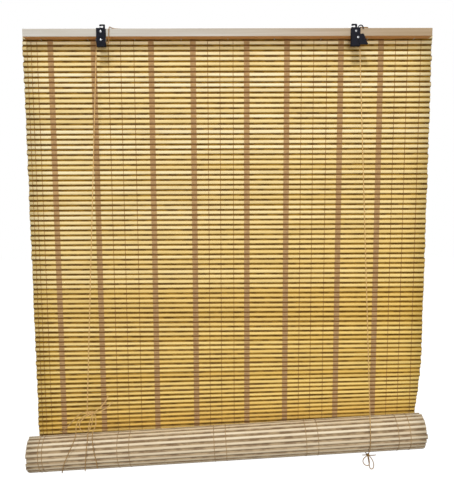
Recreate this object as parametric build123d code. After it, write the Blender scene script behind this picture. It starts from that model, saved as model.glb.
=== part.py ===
# Woven bamboo roll-up blind, hung by two steel hangers and half rolled up.
# Frame: X along the rail, Y from the room to the wall, Z up.
# Origin: midway between the two hanging eyes, in the middle of the hangers' back sheet.

import os
from math import acos, atan2, ceil, cos, degrees, hypot, radians, sin, tan

from build123d import *

# Bamboo mat
MAT_WIDTH = 900.0
MAT_SHIFT = -1.0  # middle of rail and mat, beside the middle of the hangers
SLAT_PITCH = 11.29
SLAT_WIDTH = 8.8
SLAT_THICKNESS = 3.2
SLAT_CROWN = 1.3  # rise of the rounded outer face
STAPLED_LAP = 4.45  # first slat's middle above the rail's underside
HANGING_SLATS = 82
FAN_START = 57  # slat below which the tilted roll pulls the mat askew
FAN_SLATS = 26
FAN_ANGLE = 2.64  # degrees
FAN_POWER = 1.5
SELVEDGE_WIDTH = 2.0
SELVEDGE_THICKNESS = 1.0
SELVEDGE_INSET = 10.0

# Woven yarn
YARN_THICKNESS = 0.8
BAND_WIDTH = 12.4
BAND_PAIR_SPACING = 212.5
BAND_INNER_SPACING = 90.8
BAND_EDGE = 64.3  # first band's middle from the mat's left edge
BAND_DRIFT_SHARES = (-0.28, 0.0, 0.34, 0.44, 0.16, 0.0, -0.22, -0.43)  # of a band's width, set unevenly
THREAD_WIDTH = 1.2
THREAD_THICKNESS = 0.5
GAP_THREAD_SHARES = (0.265, 0.485, 0.725)  # of the wide gap after each pair of bands
EDGE_THREAD_SHARES = (0.15, 0.29, 0.49)  # of the edge before the first band
YARN_MARGIN = 8.0  # no yarn nearer to the mat's right edge

# Rolled part of the mat
ROLL_SLATS = 60
WINDING_SLACK = 3.4  # air between two turns of the mat
ROLL_WEB = 1.2  # wall left between two slats
ROLL_TILT = 3.18  # degrees, left end lower
ROLL_DROP = 924.5  # eye to the middle of the roll
ROLL_SHIFT = -9.3
BATTEN_WIDTH = 25.0
BATTEN_THICKNESS = 10.0
BATTEN_EDGE = 2.0
BATTEN_END_GAP = 4.0
SEAT_GAP = 0.3  # between a soft piece and what it lies on

# Head rail
RAIL_INSET = 10.0  # rail's end inward of the mat's edge
RAIL_DEPTH = 28.0
RAIL_HEIGHT = 17.0
RAIL_EDGE = 1.5
STAPLE_COUNT = 9
STAPLE_MARGIN = 32.0
STAPLE_WIRE = 1.2
STAPLE_LEG = 8.0
STAPLE_FIT = 0.1
CORD_STAPLE_DROP = 4.5  # staple of a cord below the rail's top

# Stamped hangers
SHEET = 1.2
EYE_SPACING = 540.0
EYE_RADIUS = 2.2
EYE_MOUTH = 2.4
EYE_RISE = 3.0  # eye above the rail's top
EYE_INSET = 2.0  # eye inward of the hanger's middle
TAB_WIDTH = 12.4
TAB_RISE = 5.2  # top of the tab above the eye
HANGER_WIDTH = 19.0
HANGER_DROP = 43.0  # foot of the hanger below the eye
HANGER_TOP_DROP = 4.3
HANGER_CORNER = 2.0
HANGER_BEND = 2.0
FIXING_DROP = 11.5
SCREW_RADIUS = 1.75
SCREW_LENGTH = 17.0
PIN_RADIUS = 2.0
PIN_FIT = 0.08
HEAD_RADIUS = 2.7
HEAD_HEIGHT = 1.4
HEAD_OUTLINE_SHARES = ((0, 0), (1, 0), (0.92, 0.45), (0.68, 0.82), (0.3, 1), (0, 1))  # of radius and height
CUT_OVERRUN = 1.0

# Pulley wheels
SHEAVE_WIDTH = 7.0
SHEAVE_PLAY = 0.5
SHEAVE_SCREW_GAP = 4.35  # left wheel below the fixing screw
SHEAVE_FOOT_GAP = 2.2  # left wheel above the hanger's fold
SHEAVE_GROOVE_DEPTH = 2.2
ROLLER_RADIUS = 8.6
ROLLER_GROOVE_RADIUS = 6.8
RIM_LAND = 1.0

# Cord lock on the right hanger
LOCK_FOLD_SHARE = 0.62  # of the hanger's width that is folded under
HOOK_RADIUS = 6.2
HOOK_WIDTH = 2.2  # finger as seen from the room
HOOK_REACH = 12.0  # hook's middle beyond the hanger's middle
HOOK_DROP = 2.6
HOOK_TIP = 3.0
ARM_PIN_REACH = 4.5
ARM_PIN_DROP = 24.9
ARM_HEIGHT = 22.0
ARM_WEB_DEPTH = 9.0
ARM_GAP = 0.3
ARM_CORNER = 1.5
ARM_OUTLINE_SHARES = ((-0.16, 0.30), (0.53, 0.34), (1.00, -0.69), (0.18, -0.68))

# Cord
CORD_RADIUS = 1.1
CORD_GAP = 0.3
ARC_SHARE = 0.45
RIGHT_CORD_LEAN = 32.0  # outward slant of the right run on its way down
SLING_ARCS = 5
SHEAVE_ARCS = 3
KNOT_LENGTH = 26.0
KNOT_HEIGHT = 8.4
BOW_KNOT_LENGTH = 11.0
BOW_KNOT_HEIGHT = 8.0
KNOT_END_SHARES = ((0.5, 0), (0.5, 0.18), (0.38, 0.36), (0.16, 0.49))  # of a knot's length and height

# Places worked out from the sizes
rail_length = MAT_WIDTH - 2 * RAIL_INSET
rail_front = SHEET / 2
rail_back = rail_front + RAIL_DEPTH
rail_top = -EYE_RISE
rail_bottom = rail_top - RAIL_HEIGHT
mat_front = rail_back + YARN_THICKNESS
mat_back = mat_front + SLAT_THICKNESS
mat_left = MAT_SHIFT - MAT_WIDTH / 2
first_slat = rail_bottom + STAPLED_LAP
channel_depth = SHEAVE_WIDTH + 2 * SHEAVE_PLAY
back_sheet = -SHEET / 2
front_sheet = back_sheet - channel_depth
hanger_face = front_sheet - SHEET
arm_face = hanger_face - ARM_GAP - SHEET
sheave_middle = (back_sheet + front_sheet) / 2
sheave_top = FIXING_DROP + SCREW_RADIUS + SHEAVE_SCREW_GAP
sheave_foot = HANGER_DROP - SHEET - SHEAVE_FOOT_GAP
sheave_radius = (sheave_foot - sheave_top) / 2
sheave_groove_radius = sheave_radius - SHEAVE_GROOVE_DEPTH
pin_drop = sheave_top + sheave_radius
left_x = -EYE_SPACING / 2 - EYE_INSET
right_x = EYE_SPACING / 2 + EYE_INSET
arm_pin_x = right_x + ARM_PIN_REACH
core_radius = hypot(BATTEN_WIDTH, BATTEN_THICKNESS) / 2 + SEAT_GAP
turn_growth = SLAT_THICKNESS + YARN_THICKNESS + WINDING_SLACK
cord_back = mat_back + CORD_GAP + CORD_RADIUS


def block(x, y, z):
    """Box between a pair of places along each axis."""
    corner = Pos(x[0], y[0], z[0])
    return corner * Box(x[1] - x[0], y[1] - y[0], z[1] - z[0], align=(Align.MIN, Align.MIN, Align.MIN))


def bar(radius, start, end, x, z):
    """Round bar along Y from one depth to another."""
    plane = Plane(origin=(x, start, z), x_dir=(1, 0, 0), z_dir=(0, 1, 0))
    return extrude(plane * Circle(radius), amount=end - start)


# Hanging mat
def fan_angle(row):
    """How far a slat is pulled askew, right end up."""
    share = max(row - FAN_START, 0) / FAN_SLATS
    return FAN_ANGLE * share**FAN_POWER


def slat_height(row, x):
    """Height of a slat's middle line at a place along it."""
    return first_slat - row * SLAT_PITCH + (x - mat_left) * tan(radians(fan_angle(row)))


def slat():
    """Split bamboo: flat back, square flanks and a rounded face, from the mat's left edge."""
    half = SLAT_WIDTH / 2
    flank = mat_front + SLAT_CROWN
    outline = [
        Line((flank, -half), (mat_back, -half)),
        Line((mat_back, -half), (mat_back, half)),
        Line((mat_back, half), (flank, half)),
        ThreePointArc((flank, half), (mat_front, 0), (flank, -half)),
    ]
    return extrude(Plane.YZ * make_face(outline), amount=MAT_WIDTH)


def hanging_mat():
    """The hanging slats, held in one wall by a selvedge thread near each end."""
    one = slat()
    slats = []
    for row in range(HANGING_SLATS):
        slats.append(Pos(mat_left, 0, slat_height(row, mat_left)) * Rot(0, -fan_angle(row), 0) * one)
    middle = (mat_front + SLAT_CROWN + mat_back) / 2
    depth = (middle - SELVEDGE_THICKNESS / 2, middle + SELVEDGE_THICKNESS / 2)
    threads = []
    for inset in (SELVEDGE_INSET, MAT_WIDTH - SELVEDGE_INSET - SELVEDGE_WIDTH):
        left = mat_left + inset
        foot = slat_height(HANGING_SLATS - 1, left)
        threads.append(block((left, left + SELVEDGE_WIDTH), depth, (foot, first_slat)))
    return slats[0].fuse(*slats[1:], *threads)


def on_mat(places):
    """Those places from the mat's left edge that lie on the mat, along X."""
    return [mat_left + place for place in places if place < MAT_WIDTH - YARN_MARGIN]


def band_rows():
    """Middles of the brown bands from the mat's left edge, in pairs as far as the mat goes."""
    pairs = ceil((MAT_WIDTH - BAND_EDGE) / BAND_PAIR_SPACING)
    rows = []
    for number in range(2 * pairs):
        pair, second = divmod(number, 2)
        drift = BAND_DRIFT_SHARES[number % len(BAND_DRIFT_SHARES)] * BAND_WIDTH
        rows.append(BAND_EDGE + pair * BAND_PAIR_SPACING + second * BAND_INNER_SPACING + drift)
    return rows


def thread_rows():
    """Single threads from the mat's left edge, three before the first band and three after each pair."""
    gap = BAND_PAIR_SPACING - BAND_INNER_SPACING
    rows = [share * BAND_EDGE for share in EDGE_THREAD_SHARES]
    for second in band_rows()[1::2]:
        rows += [second + share * gap for share in GAP_THREAD_SHARES]
    return rows


def yarn_strips(rows, width, thickness):
    """Flat strips of yarn down the faces of the slats, as far as the roll."""
    top = first_slat + SLAT_WIDTH / 2
    depth = (mat_front - thickness, mat_front)
    strips = []
    for x in on_mat(rows):
        foot = roll_axis_z(x) + SEAT_GAP
        strips.append(block((x - width / 2, x + width / 2), depth, (foot, top)))
    return Compound(strips)


def warp_bands():
    """Bands of brown yarn."""
    return yarn_strips(band_rows(), BAND_WIDTH, YARN_THICKNESS)


def warp_threads():
    """Thin single threads."""
    return yarn_strips(thread_rows(), THREAD_WIDTH, THREAD_THICKNESS)


# Roll
def spiral_growth(angle):
    """Growth of the wound radius over an angle."""
    return turn_growth * angle / radians(360)


def wind_slats():
    """Angles at the start and end of each rolled slat and its outer radius, from the core outwards."""
    slats = []
    angle = 0.0
    for _ in range(ROLL_SLATS):
        outer = core_radius + SLAT_THICKNESS + spiral_growth(angle)
        middle = outer - SLAT_THICKNESS / 2
        slats.append((angle, angle + SLAT_WIDTH / middle, outer))
        angle += SLAT_PITCH / middle
    return slats


wound_slats = wind_slats()
wound_angle = wound_slats[-1][1]
roll_radius = core_radius + SLAT_THICKNESS + spiral_growth(wound_angle)
roll_y = mat_back - roll_radius
roll_place = Pos(ROLL_SHIFT, roll_y, -ROLL_DROP) * Rot(0, -ROLL_TILT, 0)
cord_reach = roll_radius + CORD_GAP + CORD_RADIUS


def roll_axis_z(x):
    """Height of the tilted roll's axis."""
    return -ROLL_DROP + (x - ROLL_SHIFT) * tan(radians(ROLL_TILT))


def roll_point(angle, radius):
    """Place in the roll's section: the last slat ends at the back, where the mat comes down."""
    turn = wound_angle - angle
    return (radius * cos(turn), -radius * sin(turn))


def mat_roll():
    """The rolled lower half of the mat: one wound wall, grooved between the slats."""
    outer = []
    inner = []
    for start, end, radius in wound_slats:
        middle = (start + end) / 2
        outer.append(roll_point(start, radius))
        outer.append(roll_point(middle, radius + spiral_growth(middle - start)))
        outer.append(roll_point(end, radius + spiral_growth(end - start)))
        inner.append(roll_point(start, radius - SLAT_THICKNESS))
        gap = end + (SLAT_PITCH - SLAT_WIDTH) / radius / 2
        outer.append(roll_point(gap, radius + spiral_growth(gap - start) - SLAT_THICKNESS + ROLL_WEB))
    outer.pop()
    inner.append(roll_point(wound_angle, roll_radius - SLAT_THICKNESS))
    section = make_face(Polyline(*outer, *reversed(inner), close=True))
    wall = extrude(Plane.YZ * section, amount=MAT_WIDTH)
    return roll_place * Pos(-MAT_WIDTH / 2, 0, 0) * wall


def bottom_batten():
    """Lath along the mat's lower edge, the core of the roll, one edge at the mat's inner end."""
    lath = Box(MAT_WIDTH - 2 * BATTEN_END_GAP, BATTEN_WIDTH, BATTEN_THICKNESS)
    lath = fillet(lath.edges().filter_by(Axis.X), BATTEN_EDGE)
    inner_end = -degrees(wound_angle)
    return roll_place * Rot(inner_end + degrees(atan2(BATTEN_THICKNESS, BATTEN_WIDTH)), 0, 0) * lath


# Head rail
def staple_places():
    """Middles of the staples that hold the first slat."""
    run = rail_length - 2 * STAPLE_MARGIN
    return [MAT_SHIFT - run / 2 + run * number / (STAPLE_COUNT - 1) for number in range(STAPLE_COUNT)]


def mat_staple_legs(x):
    """Legs in the gaps above and below the first slat."""
    reach = (SLAT_WIDTH + STAPLE_WIRE) / 2 + STAPLE_FIT
    return [(x, first_slat + reach), (x, first_slat - reach)]


def cord_staple_legs(x):
    """Legs on both sides of a cord."""
    reach = CORD_RADIUS + STAPLE_WIRE / 2 + STAPLE_FIT
    return [(x - reach, rail_top - CORD_STAPLE_DROP), (x + reach, rail_top - CORD_STAPLE_DROP)]


def wire(x, z, depth, fit=0.0):
    """Square wire along Y."""
    half = STAPLE_WIRE / 2 + fit
    return block((x - half, x + half), depth, (z - half, z + half))


def staple(legs, crown_y):
    """Wire bent over something and driven into the back of the rail."""
    half = STAPLE_WIRE / 2
    pins = [wire(x, z, (rail_back - STAPLE_LEG, crown_y)) for x, z in legs]
    across = [x for x, _ in legs]
    heights = [z for _, z in legs]
    crown = block(
        (min(across) - half, max(across) + half),
        (crown_y, crown_y + STAPLE_WIRE),
        (min(heights) - half, max(heights) + half),
    )
    return crown.fuse(*pins)


def mat_staples():
    """Row of staples over the first slat."""
    return Compound([staple(mat_staple_legs(x), mat_back) for x in staple_places()])


def cord_staples():
    """One staple over the upper end of each back run of the cord."""
    return Compound([staple(cord_staple_legs(x), cord_back + CORD_RADIUS) for x in (left_x, right_x)])


def head_rail():
    """Planed pine batten with eased edges, pierced by the screws and staples."""
    half = rail_length / 2
    rail = block((MAT_SHIFT - half, MAT_SHIFT + half), (rail_front, rail_back), (rail_bottom, rail_top))
    rail = fillet(rail.edges().filter_by(Axis.X), RAIL_EDGE)
    hole = (SCREW_RADIUS + PIN_FIT, rail_front - CUT_OVERRUN, rail_front + SCREW_LENGTH)
    screws = [bar(*hole, x, -FIXING_DROP) for x in (left_x, right_x)]
    legs = [leg for x in staple_places() for leg in mat_staple_legs(x)]
    legs += [leg for x in (left_x, right_x) for leg in cord_staple_legs(x)]
    depth = (rail_back - STAPLE_LEG - STAPLE_FIT, rail_back + CUT_OVERRUN)
    return rail.cut(*screws, *[wire(x, z, depth, STAPLE_FIT) for x, z in legs])


# Hangers
def facing(x, y, z):
    """Plane seen from the room, with X to the right and Z up."""
    return Plane(origin=(x, y, z), x_dir=(1, 0, 0), z_dir=(0, -1, 0))


def eye_tab(eye_x):
    """Tongue above the rail with the hanging eye, open to the left for the wall hook."""
    height = TAB_RISE + HANGER_TOP_DROP + HANGER_CORNER
    face = Pos(0, TAB_RISE - height / 2) * RectangleRounded(TAB_WIDTH, height, HANGER_CORNER)
    mouth = Pos(-TAB_WIDTH / 2, 0) * Rectangle(TAB_WIDTH, EYE_MOUTH)
    return extrude(facing(eye_x, rail_front, 0) * (face - Circle(EYE_RADIUS) - mouth), amount=SHEET)


def hanger_channel(middle):
    """Strip folded into a channel: back sheet on the rail, front sheet and the fold below."""
    height = HANGER_DROP - HANGER_TOP_DROP
    outside = Rectangle(channel_depth + 2 * SHEET, height)
    outside = fillet(outside.vertices().group_by(Axis.Y)[0], HANGER_BEND)
    inside = Pos(0, SHEET) * Rectangle(channel_depth, height)
    inside = fillet(inside.vertices().group_by(Axis.Y)[0], HANGER_BEND - SHEET)
    strip = extrude(Plane.YZ * (outside - inside), amount=HANGER_WIDTH)
    return Pos(middle - HANGER_WIDTH / 2, sheave_middle, -HANGER_TOP_DROP - height / 2) * strip


def pin_hole(radius, x, z):
    """Round hole through both sheets of a hanger."""
    return bar(radius + PIN_FIT, hanger_face - CUT_OVERRUN, rail_front + CUT_OVERRUN, x, z)


def left_hanger():
    """Pulley hanger of the left side."""
    body = hanger_channel(left_x) + eye_tab(-EYE_SPACING / 2)
    return body - pin_hole(SCREW_RADIUS, left_x, -FIXING_DROP) - pin_hole(PIN_RADIUS, left_x, -pin_drop)


def guide_hook():
    """Curled finger of the back sheet, through which the cord comes over the rail."""
    curl = Circle(HOOK_RADIUS) - Circle(HOOK_RADIUS - HOOK_WIDTH)
    curl -= Pos(0, -HOOK_RADIUS) * Rectangle(2 * HOOK_RADIUS, 2 * HOOK_RADIUS)
    leg = HOOK_RADIUS - HOOK_WIDTH / 2
    curl += Pos(-leg, -HOOK_TIP / 2) * Rectangle(HOOK_WIDTH, HOOK_TIP)
    curl += Pos(leg, -HOOK_TIP / 2) * Rectangle(HOOK_WIDTH, HOOK_TIP)
    return extrude(facing(right_x + HOOK_REACH, rail_front, -HOOK_DROP) * curl, amount=SHEET)


def lock_hanger():
    """Hanger of the right side, with the cord guide and the pivot of the lock arm."""
    right_edge = right_x + HANGER_WIDTH / 2
    fold_end = right_edge - HANGER_WIDTH * (1 - LOCK_FOLD_SHARE)
    relief = block(
        (fold_end, right_edge + CUT_OVERRUN),
        (front_sheet, back_sheet),
        (-HANGER_DROP - CUT_OVERRUN, -HANGER_DROP + HANGER_BEND),
    )
    body = hanger_channel(right_x) - relief + eye_tab(EYE_SPACING / 2) + guide_hook()
    body -= pin_hole(SCREW_RADIUS, right_x, -FIXING_DROP)
    return body - pin_hole(PIN_RADIUS, arm_pin_x, -ARM_PIN_DROP)


def grooved_wheel(rim, groove, bore, x, z):
    """Turned wheel with a groove as wide at its floor as the cord."""
    half = SHEAVE_WIDTH / 2
    lip = half - RIM_LAND
    upper = [(groove, CORD_RADIUS), (rim, lip), (rim, half), (bore, half)]
    lower = [(radius, -side) for radius, side in reversed(upper)]
    wheel = revolve(make_face(Polyline(*upper, *lower, close=True)), Axis.Y)
    return Pos(x, sheave_middle, z) * wheel


def left_sheave():
    """Pulley wheel under the left hanger."""
    return grooved_wheel(sheave_radius, sheave_groove_radius, PIN_RADIUS + PIN_FIT, left_x, -pin_drop)


def lock_roller():
    """Grooved roller that leads the cord into the lock."""
    return grooved_wheel(ROLLER_RADIUS, ROLLER_GROOVE_RADIUS, SCREW_RADIUS + PIN_FIT, right_x, -FIXING_DROP)


def dome_head(x, y, z, way):
    """Low domed head standing out of a face."""
    outline = [(HEAD_RADIUS * out, HEAD_HEIGHT * up) for out, up in HEAD_OUTLINE_SHARES]
    head = revolve(Plane.XZ * make_face(Polyline(*outline, close=True)), Axis.Z)
    return Plane(origin=(x, y, z), x_dir=(1, 0, 0), z_dir=(0, way, 0)) * head


def rivet(x, z, face):
    """Rivet through a hanger, domed on both sides."""
    shank = bar(PIN_RADIUS, face, rail_front, x, z)
    return shank + dome_head(x, face, z, -1) + dome_head(x, rail_front, z, 1)


def fixing_screw(x):
    """Screw through both sheets of a hanger into the rail."""
    shank = bar(SCREW_RADIUS, hanger_face, rail_front + SCREW_LENGTH - PIN_FIT, x, -FIXING_DROP)
    return shank + dome_head(x, hanger_face, -FIXING_DROP, -1)


def lock_arm():
    """Pressed arm that swings on the lower rivet: a slanted cheek with its right edge folded back."""
    points = [Vector(ARM_HEIGHT * x, ARM_HEIGHT * z) for x, z in ARM_OUTLINE_SHARES]
    face = fillet(make_face(Polyline(*points, close=True)).vertices(), ARM_CORNER)
    plane = facing(arm_pin_x, arm_face + SHEET, -ARM_PIN_DROP)
    cheek = extrude(plane * (face - Circle(PIN_RADIUS + PIN_FIT)), amount=SHEET)
    top, foot = points[1:3]
    along = (foot - top).normalized()
    inward = along.rotate(Axis.Z, -90) * SHEET
    start = top + along * ARM_CORNER
    end = foot - along * ARM_CORNER
    wall = plane * make_face(Polyline(start, end, end + inward, start + inward, close=True))
    return cheek + extrude(wall, amount=-ARM_WEB_DEPTH) + extrude(wall, amount=SHEET)


# Cord
def cord(name, route):
    """Plain tube along straight runs joined by tangent arcs as large as the runs allow."""
    points = [Vector(*point) for point in route]
    runs = [after - before for before, after in zip(points, points[1:])]
    room = [run.length * ARC_SHARE for run in runs]
    room[0] *= 2
    room[-1] *= 2
    radii = []
    for number, (before, after) in enumerate(zip(runs, runs[1:])):
        half_turn = radians(before.get_angle(after)) / 2
        radii.append(min(room[number], room[number + 1]) / tan(half_turn))
    path = FilletPolyline(*points, radius=radii) if radii else Line(*points)
    tube = sweep(Plane(origin=path @ 0, z_dir=path % 0) * Circle(CORD_RADIUS), path)
    print(name, "length", round(path.length, 1), "radii", [round(radius, 1) for radius in radii])
    return tube


def round_roll(x, turn, share=1.0):
    """Place of the cord beside the roll; the turn counts from the front, down and under."""
    angle = radians(turn)
    reach = cord_reach * share
    return (x, roll_y - reach * cos(angle), roll_axis_z(x) - reach * sin(angle))


def sling(start_turn, start_x, end_x):
    """Corners round the roll, from its front under it to the back of the mat."""
    step = (180 - start_turn) / SLING_ARCS
    out = 1 / cos(radians(step / 2))
    corners = []
    for number in range(SLING_ARCS):
        place = number + 0.5
        x = start_x + (end_x - start_x) * place / SLING_ARCS
        corners.append(round_roll(x, start_turn + step * place, out))
    return [round_roll(start_x, start_turn), *corners, round_roll(end_x, 180)]


def over_sheave():
    """Start at the left wheel's left side and corners over it."""
    reach = sheave_groove_radius + CORD_GAP + CORD_RADIUS
    step = 180 / SHEAVE_ARCS
    out = reach / cos(radians(step / 2))
    corners = [(left_x - reach, sheave_middle, -pin_drop)]
    for number in range(SHEAVE_ARCS):
        angle = radians(180 - step * (number + 0.5))
        corners.append((left_x + out * cos(angle), sheave_middle, -pin_drop + out * sin(angle)))
    return corners


def taut(top, foot):
    """Straight run that stops just short of the stretches at its ends."""
    down = Vector(*foot) - Vector(*top)
    gap = down.normalized() * CORD_GAP
    return [tuple(Vector(*top) + gap), tuple(Vector(*foot) - gap)]


left_cord_top = over_sheave()[0]
right_cord_top = (right_x + ROLLER_GROOVE_RADIUS + CORD_GAP + CORD_RADIUS, sheave_middle, -FIXING_DROP)
right_cord_x = right_cord_top[0] + RIGHT_CORD_LEAN
right_fall = right_cord_top[2] - roll_axis_z(right_cord_x)
right_ahead = roll_y - right_cord_top[1]
right_turn = degrees(acos(cord_reach / hypot(right_fall, right_ahead)) - atan2(right_fall, right_ahead))

# Places and routes of the loose cord, point by point
KNOT_PLACE = (-309.5, -52.1, -836.7)
BOW_PLACE = (316.0, -22.0, -954.6)
LEFT_CORD_FOOT = (-317.0, -51.5, -832.6)
LEFT_SLING_X = -368.0
LEFT_SLING_END_X = -392.0
LEFT_SLING_TURN = 5.0  # degrees
CROSS_ROUTE = [
    (-261.8, -4.6, -36.0), (-256.2, -4.2, -36.0), (-256.2, -2.8, -25.0), (-256.0, -1.8, -14.0),
    (-255.6, -1.8, -5.0), (-254.4, -0.7, 0.4), (-252.0, 4.5, -0.8), (-246.0, 9.0, -1.6),
    (-233.0, 11.4, -1.6), (-208.0, 13.6, -1.6), (-162.0, 15.8, -1.6), (-106.0, 17.3, -1.6),
    (-50.0, 18.1, -1.6), (6.0, 18.3, -1.6), (62.0, 17.9, -1.6), (118.0, 16.8, -1.6),
    (174.0, 15.1, -1.6), (226.0, 12.9, -1.6), (258.0, 11.4, -1.6), (277.0, 10.8, -1.6),
    (288.5, 10.2, -1.6), (300.5, 10.0, -1.6), (300.5, 2.3, -1.6), (291.0, 2.3, -1.6),
    (285.5, 1.6, -1.5), (282.6, -1.6, -1.9), (280.8, -4.4, -5.2),
]
LEFT_SLING_ROUTE = [
    (-312.5, -53.1, -838.2), (-328.3, -53.8, -845.4), (-339.6, -54.8, -857.6), (-342.1, -56.3, -870.7),
    (-341.7, -57.6, -883.2), (-345.7, -58.3, -897.7), (-352.4, -58.5, -911.8), (-359.5, -58.5, -927.2),
]
LEFT_LONG_END_ROUTE = [
    (-305.1, -52.3, -838.7), (-308.4, -53.8, -847.9), (-312.2, -55.3, -858.6), (-315.1, -57.1, -877.4),
    (-316.8, -57.9, -897.2), (-320.1, -58.2, -917.6), (-322.0, -58.3, -938.4), (-323.8, -58.1, -955.9),
    (-324.3, -57.7, -969.7),
]
LEFT_SHORT_END_ROUTE = [
    (-300.5, -52.3, -837.8), (-296.7, -54.3, -854.0), (-299.4, -56.3, -868.2), (-304.7, -57.4, -877.2),
    (-306.8, -57.8, -889.0), (-305.5, -58.2, -910.0), (-303.1, -58.3, -928.5), (-299.1, -58.1, -946.4),
    (-296.6, -57.7, -963.9),
]
LEFT_SLANT_END_ROUTE = [
    (-318.5, -52.1, -835.4), (-332.7, -48.3, -838.8), (-345.3, -41.3, -852.6), (-359.0, -33.3, -868.8),
    (-373.0, -23.3, -884.2), (-384.8, -13.3, -897.8), (-391.0, -3.3, -900.2),
]
LEFT_LOOP_ROUTE = [
    (-307.0, -54.8, -838.7), (-318.3, -58.9, -842.5), (-329.3, -60.9, -850.9), (-334.1, -61.3, -862.4),
    (-330.9, -61.3, -872.6), (-322.1, -61.2, -877.0), (-312.8, -60.8, -874.4), (-307.1, -59.5, -864.9),
    (-304.3, -56.9, -852.9), (-303.5, -54.3, -840.7),
]
LEFT_UPPER_TAIL_ROUTE = [
    (-299.5, -51.5, -834.8), (-289.5, -49.3, -826.5), (-280.5, -47.3, -818.3), (-274.4, -45.3, -808.7),
    (-271.5, -44.3, -801.3),
]
LEFT_LOWER_TAIL_ROUTE = [
    (-298.1, -51.7, -837.0), (-287.1, -50.5, -834.0), (-277.7, -49.5, -829.6), (-268.8, -48.5, -822.6),
    (-261.0, -47.3, -814.2),
]
BOW_LEFT_LOOP_ROUTE = [
    (313.4, -22.6, -956.6), (305.6, -23.2, -962.0), (303.8, -23.6, -970.6), (309.0, -23.8, -978.4),
    (317.4, -23.4, -980.6), (320.4, -23.0, -973.0), (316.8, -22.6, -957.0),
]
BOW_RIGHT_LOOP_ROUTE = [
    (318.2, -20.0, -956.2), (325.2, -19.4, -964.0), (330.2, -19.0, -975.0), (331.0, -19.0, -983.5),
    (328.6, -19.0, -990.6), (322.4, -19.0, -990.0), (320.6, -19.2, -981.6), (316.0, -20.0, -957.4),
]
BOW_LEFT_END_ROUTE = [(312.6, -20.2, -955.2), (307.6, -22.2, -954.8), (302.8, -24.6, -953.6)]
BOW_RIGHT_END_ROUTE = [(319.6, -22.6, -955.4), (326.2, -23.4, -955.2), (333.4, -25.0, -953.4)]


def knot(place, length, height):
    """Outer shape of a knot: a barrel with tapered ends."""
    right = [(length * along, height * out) for along, out in KNOT_END_SHARES]
    left = [(-along, out) for along, out in reversed(right)]
    return Pos(*place) * revolve(make_face(Polyline(*right, *left, close=True)), Axis.X)


def cords():
    """Every stretch of the cord with its knots, by name."""
    right_sling = sling(right_turn, right_cord_x, right_cord_x)
    left_sling = sling(LEFT_SLING_TURN, LEFT_SLING_X, LEFT_SLING_END_X)
    back_tops = [(x, cord_back, rail_top - CORD_STAPLE_DROP) for x in (left_x, right_x)]
    routes = {
        "left_front_cord": taut(left_cord_top, LEFT_CORD_FOOT),
        "cross_cord": [*over_sheave(), *CROSS_ROUTE, right_cord_top],
        "right_front_cord": taut(right_cord_top, right_sling[0]),
        "right_roll_sling": right_sling,
        "right_back_cord": taut(back_tops[1], right_sling[-1]),
        "left_roll_sling": [*LEFT_SLING_ROUTE, *left_sling],
        "left_back_cord": taut(back_tops[0], left_sling[-1]),
        "left_long_end": LEFT_LONG_END_ROUTE,
        "left_short_end": LEFT_SHORT_END_ROUTE,
        "left_slant_end": LEFT_SLANT_END_ROUTE,
        "left_loop": LEFT_LOOP_ROUTE,
        "left_upper_tail": LEFT_UPPER_TAIL_ROUTE,
        "left_lower_tail": LEFT_LOWER_TAIL_ROUTE,
        "bow_left_loop": BOW_LEFT_LOOP_ROUTE,
        "bow_right_loop": BOW_RIGHT_LOOP_ROUTE,
        "bow_left_end": BOW_LEFT_END_ROUTE,
        "bow_right_end": BOW_RIGHT_END_ROUTE,
    }
    pieces = {name: cord(name, route) for name, route in routes.items()}
    pieces["left_knot"] = knot(KNOT_PLACE, KNOT_LENGTH, KNOT_HEIGHT)
    pieces["bow_knot"] = knot(BOW_PLACE, BOW_KNOT_LENGTH, BOW_KNOT_HEIGHT)
    return pieces


# Assembly
nodes = {
    "head_rail": head_rail(),
    "mat_staples": mat_staples(),
    "cord_staples": cord_staples(),
    "hanging_mat": hanging_mat(),
    "warp_bands": warp_bands(),
    "warp_threads": warp_threads(),
    "mat_roll": mat_roll(),
    "bottom_batten": bottom_batten(),
    "left_hanger": left_hanger(),
    "left_sheave": left_sheave(),
    "left_sheave_pin": rivet(left_x, -pin_drop, hanger_face),
    "left_fixing_screw": fixing_screw(left_x),
    "lock_hanger": lock_hanger(),
    "lock_roller": lock_roller(),
    "lock_fixing_screw": fixing_screw(right_x),
    "lock_arm": lock_arm(),
    "lock_arm_pin": rivet(arm_pin_x, -ARM_PIN_DROP, arm_face),
    **cords(),
}
os.makedirs("parts", exist_ok=True)
for name, shape in nodes.items():
    export_step(shape, f"parts/{name}.step")
print("roll radius", round(roll_radius, 2), "roll axis y", round(roll_y, 2))
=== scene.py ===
# Woven bamboo roll-up blind, hung by two hangers and half rolled up.
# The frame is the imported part, in metres: X along the rail, Y to the wall, Z up.

from math import cos, hypot, pi, radians, sin, tan

import bmesh
import bpy
from mathutils import Matrix, Vector


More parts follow.
